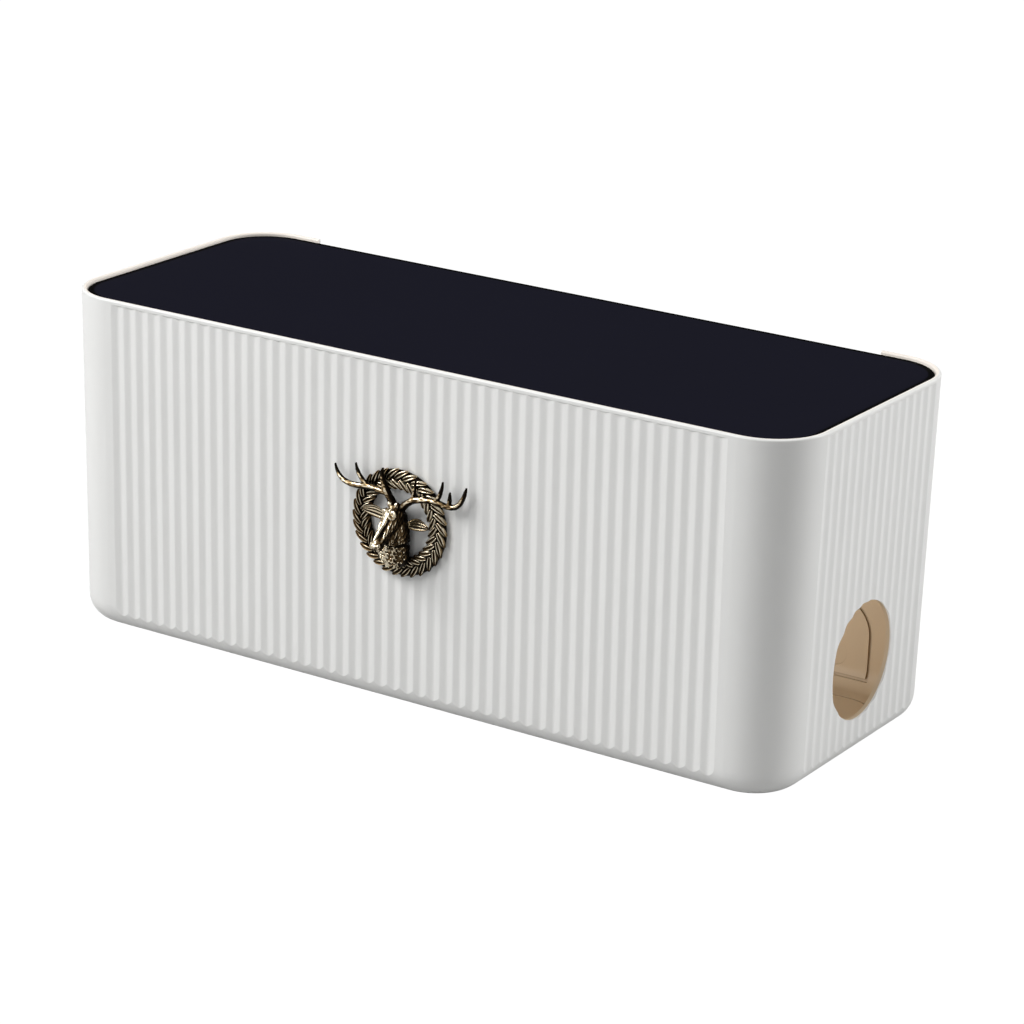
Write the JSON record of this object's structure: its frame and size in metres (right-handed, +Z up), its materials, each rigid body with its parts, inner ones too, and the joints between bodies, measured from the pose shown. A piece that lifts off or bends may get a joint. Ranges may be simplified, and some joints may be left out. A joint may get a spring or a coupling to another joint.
{
  "type": "cable management box",
  "caption": "Long rounded box with fluted walls, a lift-off flat lid, a round cable port in each end, a rear cable notch and a cast stag and wreath ornament.",
  "frame": {"origin": "on the desk, under the middle of the whole object, ornament included, which is 7.9 mm in front of the middle of the tub", "axes": "+X to the right along the length, +Y to the rear, +Z up; the ornament is on the -Y side"},
  "size_m": [0.325, 0.1428, 0.1362],
  "materials": {
    "shell_plastic": "satin white moulded plastic",
    "lid_plastic": "matt dark navy",
    "antique_brass": "antique brass casting, dark in the hollows",
    "spring_steel": "plain",
    "foot_rubber": "matt"
  },
  "bodies": {
    "tub": {"body_shell": "shell_plastic", "badge_wreath": "antique_brass", "badge_stag_head": "antique_brass", "badge_antler_left": "antique_brass", "badge_antler_right": "antique_brass", "badge_push_nuts": "spring_steel", "foot_front_left": "foot_rubber", "foot_front_right": "foot_rubber", "foot_rear_left": "foot_rubber", "foot_rear_right": "foot_rubber"},
    "lid": {"lid_panel": "lid_plastic"}
  },
  "joints": [
    {"name": "lid_lift", "type": "slide", "parent": "tub", "child": "lid", "axis": [0, 0, 1], "range_m": [0, 0.06]}
  ]
}
